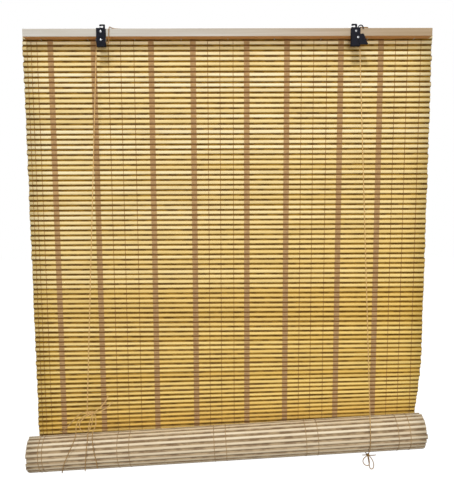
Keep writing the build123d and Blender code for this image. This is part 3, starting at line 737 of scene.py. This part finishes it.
def line_length(points):
    """Length along a row of points."""
    return sum((after - before).length for before, after in zip(points, points[1:]))


def even_steps(line, step):
    """The same line with its points evenly spaced."""
    total = line_length(line)
    count = max(int(total / step), LEAST_RINGS)
    spacing = total / count
    points = [line[0].copy()]
    left = spacing
    for before, after in zip(line, line[1:]):
        run = (after - before).length
        done = 0.0
        while run - done >= left and len(points) < count:
            done += left
            points.append(before.lerp(after, done / run))
            left = spacing
        left -= run - done
    points.append(line[-1].copy())
    return points


def twisted_cord(name, route, finish):
    """Three strands laid round the route's line, as one closed mesh, and the line's points."""
    points = even_steps(cord_line(name, route), CORD_RING)
    shape = bmesh.new()
    depth = shape.verts.layers.float.new("strand")
    sides = STRANDS * len(STRAND_SHARES)
    along = (points[1] - points[0]).normalized()
    across = along.orthogonal().normalized()
    rings = []
    for number, point in enumerate(points):
        ahead = points[min(number + 1, len(points) - 1)] - points[max(number - 1, 0)]
        across = (across - ahead * across.dot(ahead) / ahead.length_squared).normalized()
        up = ahead.normalized().cross(across)
        spin = 2 * pi * number * CORD_RING / CORD_LAY
        ring = []
        for side in range(sides):
            share = STRAND_SHARES[side % len(STRAND_SHARES)]
            angle = spin + 2 * pi * side / sides
            vert = shape.verts.new(point + (across * cos(angle) + up * sin(angle)) * CORD_RADIUS * share)
            vert[depth] = share
            ring.append(vert)
        rings.append(ring)
    close_tube(shape, rings)
    for face in shape.faces:
        face.smooth = True
    mesh = mesh_from(shape, name)
    mesh.materials.append(finish)
    return link(bpy.data.objects.new(name, mesh)), points


def cord_finish():
    """Tan twisted cord, fuzzy and matt, with painted shade between its strands and near the rail and the
    roll.
    """
    finish, tree, shader = new_finish("tan_cord", 0.8)
    strand = attribute(tree, "strand")
    place = put(tree, "ShaderNodeTexCoord").outputs["Object"]
    fuzz = put(tree, "ShaderNodeTexNoise", {"Vector": place, "Scale": 2200.0, "Detail": 3.0})
    worn = put(tree, "ShaderNodeTexNoise", {"Vector": place, "Scale": 70.0, "Detail": 2.0})
    height = put(tree, "ShaderNodeSeparateXYZ", {0: place}).outputs["Z"]
    # Painted shade: the cord darkens close under the rail and hangers and low down on the roll.
    at_roll = ranged(tree, height, -0.86, -0.9)
    at_rail = ranged(tree, height, -0.06, -0.04)
    pulled = mixed(tree, at_rail, tint(242, 201, 131), tint(158, 118, 66))
    rail_and_roll_shade = mixed(tree, at_roll, pulled, tint(180, 142, 88))
    # Painted shade in the creases between strands.
    between = mixed(tree, at_roll, tint(166, 122, 64), tint(132, 94, 48))
    base = mixed(tree, ranged(tree, strand, 0.78, 0.94), between, rail_and_roll_shade)
    # Real wear: random patches of darker tan.
    wear_and_light_falloff = mixed(tree, ranged(tree, worn.outputs[0], 0.4, 0.7, 0.0, 0.3), base, tint(164, 124, 72))
    tree.links.new(wear_and_light_falloff, shader.inputs["Base Color"])
    shader.inputs["Specular IOR Level"].default_value = 0.2
    shader.inputs["Sheen Weight"].default_value = 0.1
    relief(tree, shader, fuzz.outputs[0], 0.4, 0.0002)
    return finish


tan_cord = cord_finish()

# Routes of the cord, all in millimetres.
CORD_HALF = 1.1
CORD_GAP = 0.3
END_GAP = 0.3
STRAIGHT_END = 13.0
ROLL_AXIS_Y = ROLL_MIDDLE.y * 1000
CORD_REACH = roll_radius * 1000 + CORD_GAP + CORD_HALF
SHEAVE_PLACE = (-272.0, -4.6, -28.6)
SHEAVE_GROOVE = 8.8
SHEAVE_ARCS = 3


def round_roll(x, turn, share=1.0):
    """Place of the cord beside the roll; the turn counts from the front, down and under."""
    angle = radians(turn)
    reach = CORD_REACH * share
    middle = roll_axis_height(x / 1000) * 1000
    return (x, ROLL_AXIS_Y - reach * cos(angle), middle - reach * sin(angle))


def sling(start_turn, places):
    """Corners round the roll at places along it, from its front under it to the back of the mat."""
    step = (180 - start_turn) / (len(places) - 2)
    out = 1 / cos(radians(step / 2))
    corners = []
    for number, x in enumerate(places[1:-1]):
        corners.append(round_roll(x, start_turn + step * (number + 0.5), out))
    return [round_roll(places[0], start_turn), *corners, round_roll(places[-1], 180)]


def over_sheave():
    """Start at the left wheel's left side and corners over it."""
    x, y, z = SHEAVE_PLACE
    reach = SHEAVE_GROOVE + CORD_GAP + CORD_HALF
    step = 180 / SHEAVE_ARCS
    out = reach / cos(radians(step / 2))
    corners = [(x - reach, y, z)]
    for number in range(SHEAVE_ARCS):
        angle = radians(180 - step * (number + 0.5))
        corners.append((x + out * cos(angle), y, z + out * sin(angle)))
    return corners


def taut(top, foot):
    """Route of a straight run, with a point near each end."""
    start = Vector(top)
    down = Vector(foot) - start
    gap = down.normalized() * END_GAP
    near = down.normalized() * STRAIGHT_END
    return [tuple(place) for place in (start + gap, start + near, Vector(foot) - near, Vector(foot) - gap)]


RIGHT_TOP = (280.2, -4.6, -11.5)
RIGHT_X = 312.2
RIGHT_TURN = -3.405
LEFT_TURN = 5.0
LEFT_SLING_PLACES = (-369.5, -374.0, -382.0, -388.0, -391.0, -392.0, -392.0)
right_sling = sling(RIGHT_TURN, [RIGHT_X] * len(LEFT_SLING_PLACES))
left_sling = sling(LEFT_TURN, LEFT_SLING_PLACES)
LOCK_SHARE = 0.06
LOCK_EXIT = tuple(Vector(RIGHT_TOP).lerp(Vector(right_sling[0]), LOCK_SHARE))
LEFT_FRONT_FOOT = (-317.0, -51.5, -832.6)
BACK_Y = 34.0
LEFT_BACK_TOP = (-272.0, BACK_Y, -7.5)
RIGHT_BACK_TOP = (272.0, BACK_Y, -7.5)
CROSS_ROUTE = [
    (-261.8, -4.6, -36.0), (-256.2, -4.2, -36.0), (-256.2, -2.8, -25.0), (-256.0, -1.8, -14.0),
    (-255.6, -1.8, -5.0), (-254.4, -0.7, 0.4), (-252.0, 4.5, -0.8), (-246.0, 9.0, -1.6),
    (-233.0, 11.4, -1.6), (-208.0, 13.6, -1.6), (-162.0, 15.8, -1.6), (-106.0, 17.3, -1.6),
    (-50.0, 18.1, -1.6), (6.0, 18.3, -1.6), (62.0, 17.9, -1.6), (118.0, 16.8, -1.6),
    (174.0, 15.1, -1.6), (226.0, 12.9, -1.6), (258.0, 11.4, -1.6), (277.0, 10.8, -1.6),
    (288.5, 10.2, -1.6), (300.5, 10.0, -1.6), (300.5, 2.3, -1.6), (291.0, 2.3, -1.6),
    (285.5, 1.6, -1.5), (282.6, -1.6, -1.9), (280.8, -4.4, -5.2),
]
LEFT_SLING_ROUTE = [
    (-312.5, -53.1, -838.2), (-328.3, -53.8, -845.4), (-339.6, -54.8, -857.6), (-342.1, -56.3, -870.7),
    (-341.7, -57.6, -883.2), (-345.7, -58.3, -897.7), (-352.4, -58.5, -911.8), (-359.5, -58.5, -927.2),
]
LEFT_LONG_END = [
    (-305.1, -52.3, -838.7), (-308.4, -53.8, -847.9), (-312.2, -55.3, -858.6), (-315.1, -57.1, -877.4),
    (-316.8, -57.9, -897.2), (-320.1, -58.2, -917.6), (-322.0, -58.3, -938.4), (-323.8, -58.1, -955.9),
    (-324.3, -57.7, -969.7),
]
LEFT_SHORT_END = [
    (-300.5, -52.3, -837.8), (-296.7, -54.3, -854.0), (-299.4, -56.3, -868.2), (-304.7, -57.4, -877.2),
    (-306.8, -57.8, -889.0), (-305.5, -58.2, -910.0), (-303.1, -58.3, -928.5), (-299.1, -58.1, -946.4),
    (-296.6, -57.7, -963.9),
]
LEFT_SLANT_END = [
    (-318.5, -52.1, -835.4), (-332.7, -48.3, -838.8), (-345.3, -41.3, -852.6), (-359.0, -33.3, -868.8),
    (-373.0, -23.3, -884.2), (-384.8, -13.3, -897.8), (-391.0, -3.3, -900.2),
]
LEFT_LOOP = [
    (-307.0, -54.8, -838.7), (-318.3, -58.9, -842.5), (-329.3, -60.9, -850.9), (-334.1, -61.3, -862.4),
    (-330.9, -61.3, -872.6), (-322.1, -61.2, -877.0), (-312.8, -60.8, -874.4), (-307.1, -59.5, -864.9),
    (-304.3, -56.9, -852.9), (-303.5, -54.3, -840.7),
]
LEFT_UPPER_TAIL = [
    (-299.5, -51.5, -834.8), (-289.5, -49.3, -826.5), (-280.5, -47.3, -818.3), (-274.4, -45.3, -808.7),
    (-271.5, -44.3, -801.3),
]
LEFT_LOWER_TAIL = [
    (-298.1, -51.7, -837.0), (-287.1, -50.5, -834.0), (-277.7, -49.5, -829.6), (-268.8, -48.5, -822.6),
    (-261.0, -47.3, -814.2),
]
BOW_LEFT_LOOP = [
    (313.4, -22.6, -956.6), (305.6, -23.2, -962.0), (303.8, -23.6, -970.6), (309.0, -23.8, -978.4),
    (317.4, -23.4, -980.6), (320.4, -23.0, -973.0), (316.8, -22.6, -957.0),
]
BOW_RIGHT_END = [(319.6, -22.6, -955.4), (326.2, -23.4, -955.2), (333.4, -25.0, -953.4)]
BOW_RIGHT_LOOP = [
    (318.2, -20.0, -956.2), (325.2, -19.4, -964.0), (330.2, -19.0, -975.0), (331.0, -19.0, -983.5),
    (328.6, -19.0, -990.6), (322.4, -19.0, -990.0), (320.6, -19.2, -981.6), (316.0, -20.0, -957.4),
]
BOW_LEFT_END = [(312.6, -20.2, -955.2), (307.6, -22.2, -954.8), (302.8, -24.6, -953.6)]
LEFT_KNOT = (-309.5, -52.1, -836.7)
BOW_KNOT = (316.0, -22.0, -954.6)
KNOT_STEPS = 12
KNOT_END_SHARE = 0.72
KNOT_SWELL_SHARE = 0.28
KNOT_SWAY = 0.8


def lay_cord(name, route, body, replaced):
    piece, points = twisted_cord(name, route, tan_cord)
    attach(piece, body)
    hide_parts(*replaced)
    return piece


def knot_turns(name, middle, length, radius, turns, body, node):
    """Turns of the cord wound on themselves: the outside of a pulled-tight knot."""
    route = []
    steps = turns * KNOT_STEPS
    for number in range(steps + 1):
        share = number / steps
        angle = 2 * pi * turns * share
        swell = radius * (KNOT_END_SHARE + KNOT_SWELL_SHARE * sin(pi * share))
        x = middle[0] + length * (share - 0.5) + KNOT_SWAY * sin(2 * angle)
        route.append((x, middle[1] + swell * cos(angle), middle[2] + swell * sin(angle)))
    piece, _ = twisted_cord(name, route, tan_cord)
    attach(piece, body)
    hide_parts(node)
    return piece


def shortens(piece):
    """Gives a straight run, which gets shorter as the roll rises, its own mesh."""
    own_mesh(piece)


left_knot = knot_turns("left_knot_turns", LEFT_KNOT, 20.0, 3.0, 6, "roll_carriage", "left_knot")
bow_knot = knot_turns("bow_knot_turns", BOW_KNOT, 6.5, 2.7, 3, "roll_carriage", "bow_knot")
left_front_route = taut(over_sheave()[0], LEFT_FRONT_FOOT)
left_front = lay_cord("left_front_run", left_front_route, "headrail", ["left_front_cord"])
shortens(left_front)
cross_route = [*over_sheave(), *CROSS_ROUTE, RIGHT_TOP]
lay_cord("cross_run", cross_route, "headrail", ["cross_cord"])
lock_route = taut(RIGHT_TOP, LOCK_EXIT)
lay_cord("lock_run", lock_route, "headrail", ["right_front_cord"])
right_front_route = [lock_route[-1], *taut(LOCK_EXIT, right_sling[0])[1:]]
right_front = lay_cord(
    "right_front_run", right_front_route, "headrail", ["right_front_cord"]
)
shortens(right_front)
left_back = lay_cord(
    "left_back_run", taut(LEFT_BACK_TOP, left_sling[-1]), "headrail", ["left_back_cord"]
)
shortens(left_back)
right_back = lay_cord(
    "right_back_run", taut(RIGHT_BACK_TOP, right_sling[-1]), "headrail", ["right_back_cord"]
)
shortens(right_back)
lay_cord("right_sling", right_sling, "roll_carriage", ["right_roll_sling"])
left_route = [*LEFT_SLING_ROUTE, *left_sling]
lay_cord("left_sling", left_route, "roll_carriage", ["left_roll_sling"])
loose_ends = (
    ("left_long_end_cord", LEFT_LONG_END, ["left_long_end"], "bare", "hanging"),
    ("left_short_end_cord", LEFT_SHORT_END, ["left_short_end"], "bare", "hanging"),
    ("left_slant_end_cord", LEFT_SLANT_END, ["left_slant_end"], "bare", "loose"),
    ("left_loop_cord", LEFT_LOOP, ["left_loop"], "knot", "loose"),
    ("left_upper_tail_cord", LEFT_UPPER_TAIL, ["left_upper_tail"], "bare", "loose"),
    ("left_lower_tail_cord", LEFT_LOWER_TAIL, ["left_lower_tail"], "bare", "loose"),
    ("bow_left_cord", [*BOW_LEFT_LOOP, *BOW_RIGHT_END], ["bow_left_loop", "bow_right_end"], "bare", "loose"),
    ("bow_right_cord", [*BOW_RIGHT_LOOP, *BOW_LEFT_END], ["bow_right_loop", "bow_left_end"], "bare", "loose"),
)
for name, route, replaced, far_end, lay in loose_ends:
    lay_cord(name, route, "roll_carriage", replaced)


# Room.
# A white floor and background, and the camera of the photograph.
# The main light stands high and slightly left; one in front and one behind soften it.
FLOOR_HALF = 6.0
FLOOR_HEIGHT = -1.3
FLOOR_GLOW = 0.9
FLOOR_GREY = 0.26
ROOM_LIGHT = 0.42
LIT_POINT = (0, 0, -0.5)


def white_floor():
    """Pale floor that the camera sees as white, with the object's soft shadow on it."""
    mesh = bpy.data.meshes.new("floor")
    corners = [
        (-FLOOR_HALF, -FLOOR_HALF, FLOOR_HEIGHT), (FLOOR_HALF, -FLOOR_HALF, FLOOR_HEIGHT),
        (FLOOR_HALF, FLOOR_HALF, FLOOR_HEIGHT), (-FLOOR_HALF, FLOOR_HALF, FLOOR_HEIGHT),
    ]
    mesh.from_pydata(corners, [], [(0, 1, 2, 3)])
    finish = bpy.data.materials.new("white_floor")
    finish.use_nodes = True
    tree = finish.node_tree
    tree.nodes.remove(tree.nodes["Principled BSDF"])
    ray = put(tree, "ShaderNodeLightPath").outputs
    looks = {0: ray["Is Camera Ray"], 1: ray["Is Glossy Ray"]}
    seen = put(tree, "ShaderNodeMath", looks, operation="MAXIMUM")
    lift = put(tree, "ShaderNodeMath", {0: seen.outputs[0], 1: FLOOR_GLOW}, operation="MULTIPLY")
    glow = put(tree, "ShaderNodeEmission", {"Color": (1, 1, 1, 1), "Strength": lift.outputs[0]})
    matt = put(tree, "ShaderNodeBsdfDiffuse", {"Color": (FLOOR_GREY, FLOOR_GREY, FLOOR_GREY, 1)})
    both = put(tree, "ShaderNodeAddShader", {0: glow.outputs[0], 1: matt.outputs[0]})
    tree.links.new(both.outputs[0], tree.nodes["Material Output"].inputs["Surface"])
    mesh.materials.append(finish)
    return link(bpy.data.objects.new("floor", mesh))


def bright_room():
    """White to the camera and to polished metal, softer as a light."""
    world = bpy.data.worlds.new("bright_room")
    bpy.context.scene.world = world
    world.use_nodes = True
    tree = world.node_tree
    ray = put(tree, "ShaderNodeLightPath").outputs
    mirrored = {0: ray["Is Glossy Ray"], 1: ray["Is Transmission Ray"]}
    polished = put(tree, "ShaderNodeMath", mirrored, operation="MAXIMUM")
    seen = put(tree, "ShaderNodeMath", {0: ray["Is Camera Ray"], 1: polished.outputs[0]}, operation="MAXIMUM")
    strength = ranged(tree, seen.outputs[0], 0.0, 1.0, ROOM_LIGHT, 1.0)
    tree.links.new(strength, tree.nodes["Background"].inputs["Strength"])
    tree.nodes["Background"].inputs["Color"].default_value = (1, 1, 1, 1)


def soft_light(name, place, size, watts):
    """A square area lamp aimed at the blind's middle."""
    lamp = bpy.data.lights.new(name, "AREA")
    lamp.size = size
    lamp.energy = watts
    holder = link(bpy.data.objects.new(name, lamp))
    holder.location = place
    holder.rotation_euler = (Vector(LIT_POINT) - Vector(place)).to_track_quat("-Z", "Y").to_euler()


def photograph_camera():
    """Camera at the photograph's place, with its lens and slight turn."""
    place = (-0.0176, -1.3321, -0.325)
    yaw, pitch, roll_angle = radians(0.53), radians(6.71), radians(-0.26)
    forward = Vector((sin(yaw) * cos(pitch), cos(yaw) * cos(pitch), -sin(pitch)))
    level = Vector((cos(yaw), -sin(yaw), 0.0))
    rise = level.cross(forward)
    right = level * cos(roll_angle) + rise * sin(roll_angle)
    up = rise * cos(roll_angle) - level * sin(roll_angle)
    camera = bpy.data.cameras.new("camera")
    camera.sensor_fit = "VERTICAL"
    camera.sensor_height = 36.0
    camera.lens = 43.2
    holder = link(bpy.data.objects.new("camera", camera))
    turn = Matrix((right, up, -forward)).transposed().to_4x4()
    holder.matrix_world = Matrix.Translation(place) @ turn
    bpy.context.scene.camera = holder


white_floor()
bright_room()
soft_light("key", (-0.34, -2.2, 1.8), size=0.35, watts=42.0)
soft_light("front_light", (0.3, -2.8, -0.05), size=0.9, watts=34.0)
soft_light("back_light", (0.6, 2.8, 0.7), size=1.5, watts=36.0)
photograph_camera()
bpy.context.scene.view_settings.view_transform = "Standard"
